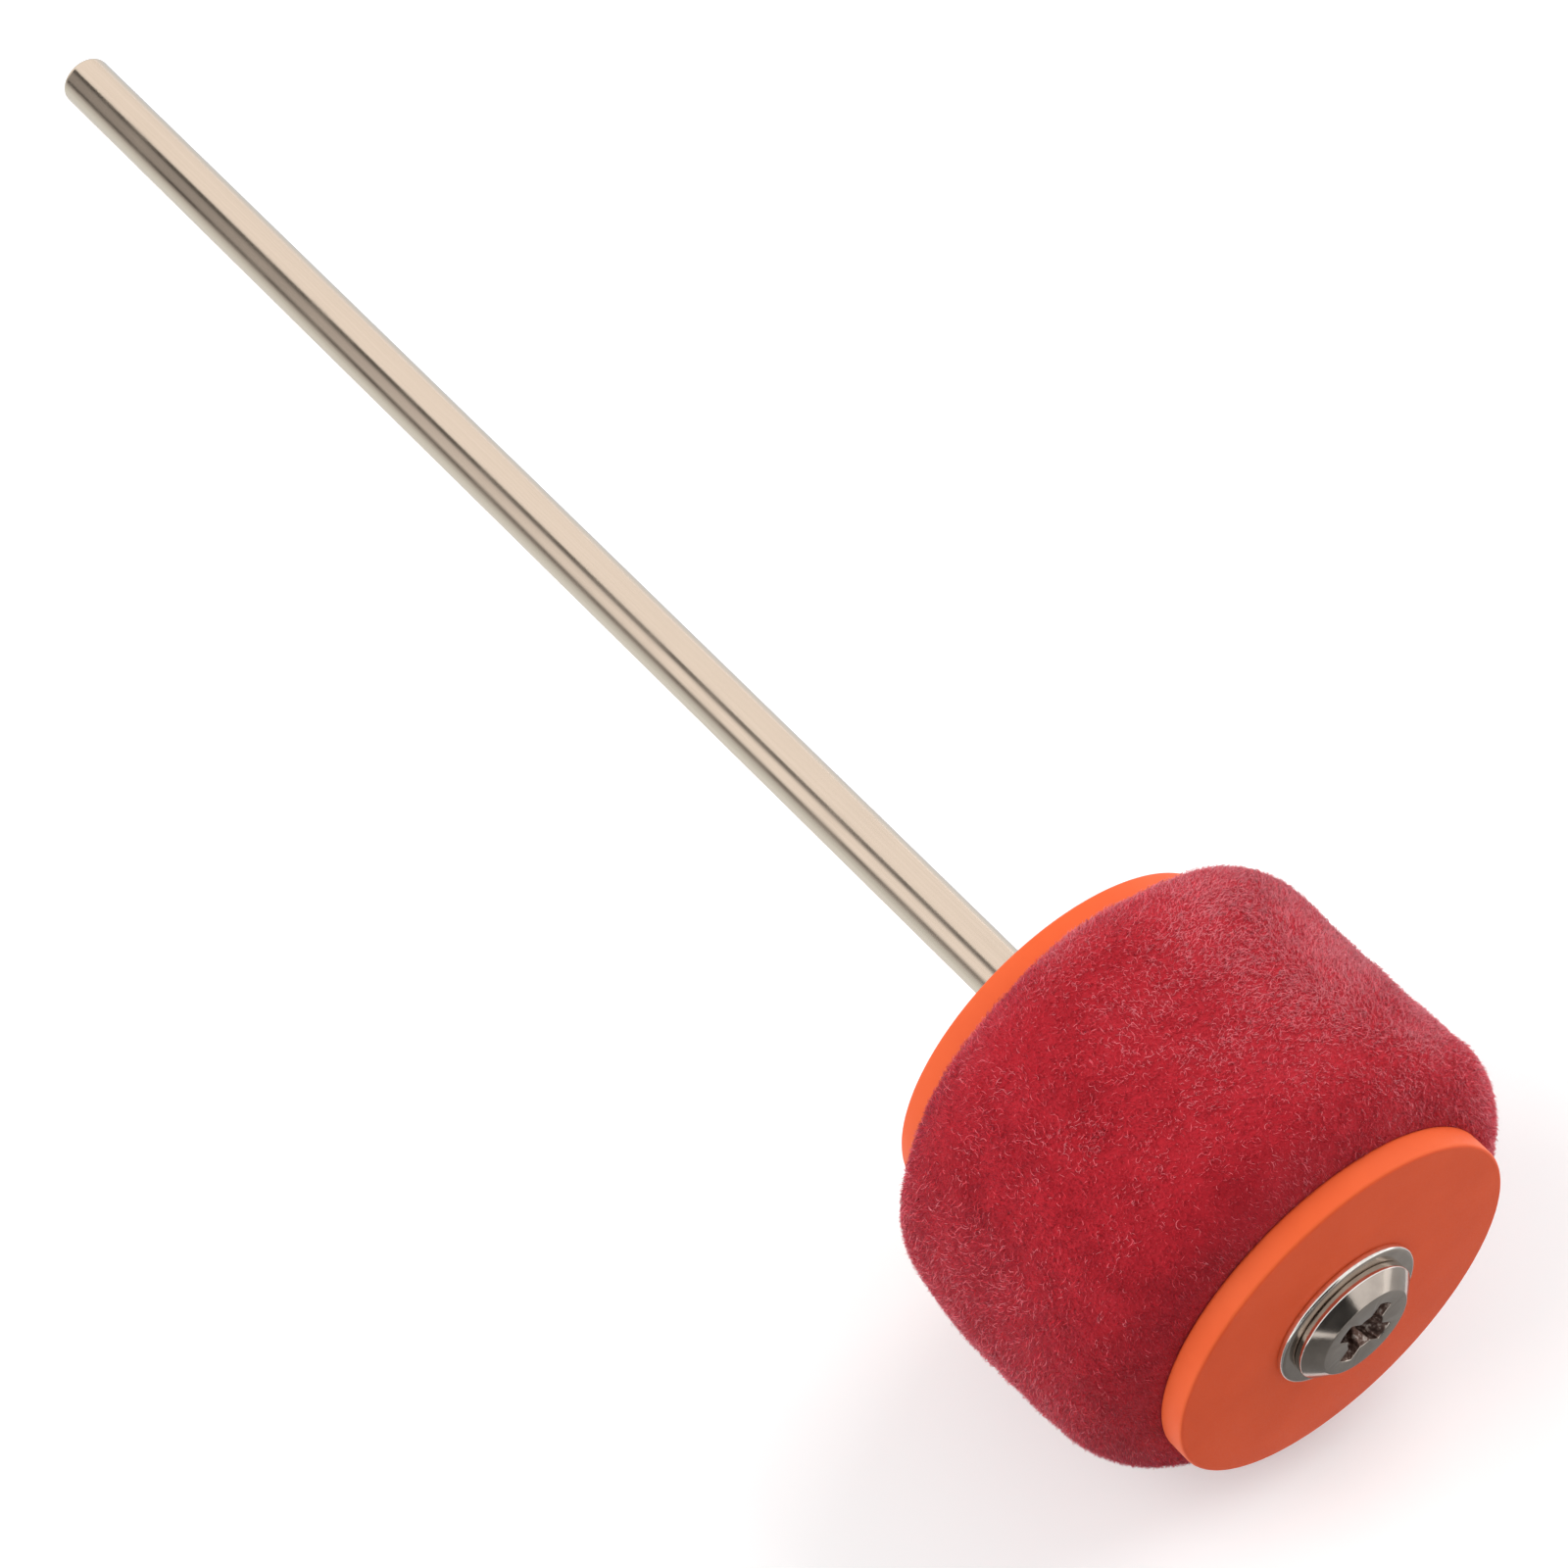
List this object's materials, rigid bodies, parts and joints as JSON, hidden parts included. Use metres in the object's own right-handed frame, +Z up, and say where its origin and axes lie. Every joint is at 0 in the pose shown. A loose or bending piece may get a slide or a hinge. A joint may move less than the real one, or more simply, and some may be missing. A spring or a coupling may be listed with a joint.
{
  "type": "bass drum beater",
  "caption": "Bass drum beater: a plush-covered round head clamped between orange end discs on a straight plated shaft, held by a bevelled sleeve nut.",
  "frame": {"origin": "on the shaft's axis, in the middle of the stretch that a pedal's hub grips, 30 mm from the free end", "axes": "+X along the shaft from its free end to the head; +Z up as the beater lies; +Y to the left of +X"},
  "size_m": [0.2175, 0.053, 0.053],
  "materials": {
    "plated_shaft": "satin nickel plate",
    "plated_fastener": "bright nickel plate",
    "orange_disc": "smooth satin",
    "wood_core": "bare turned wood",
    "felt": "pressed felt",
    "plush": "short curly pile",
    "sewing_thread": "twisted thread"
  },
  "bodies": {
    "shaft": {"shaft": "plated_shaft", "rear_nut": "plated_fastener", "rear_washer": "plated_fastener"},
    "head": {"rear_disc": "orange_disc", "head_core": "wood_core", "felt_padding": "felt", "plush_cover": "plush", "rear_draw_thread": "sewing_thread", "front_draw_thread": "sewing_thread", "front_disc": "orange_disc"},
    "washer": {"front_washer": "plated_fastener"},
    "nut": {"sleeve_nut": "plated_fastener"}
  },
  "joints": [
    {"name": "head_turn", "type": "hinge", "parent": "shaft", "child": "head", "pos_m": [0.165, 0, 0], "axis": [1, 0, 0], "continuous": true},
    {"name": "nut_travel", "type": "slide", "parent": "shaft", "child": "washer", "axis": [1, 0, 0], "range_m": [0, 0.01]},
    {"name": "nut_turn", "type": "hinge", "parent": "washer", "child": "nut", "pos_m": [0.185, 0, 0], "axis": [1, 0, 0], "range_deg": [0, 3600]}
  ],
  "couplings": [
    {"joint": "nut_travel", "follows": "nut_turn", "m_per_rad": 0.00015915}
  ]
}
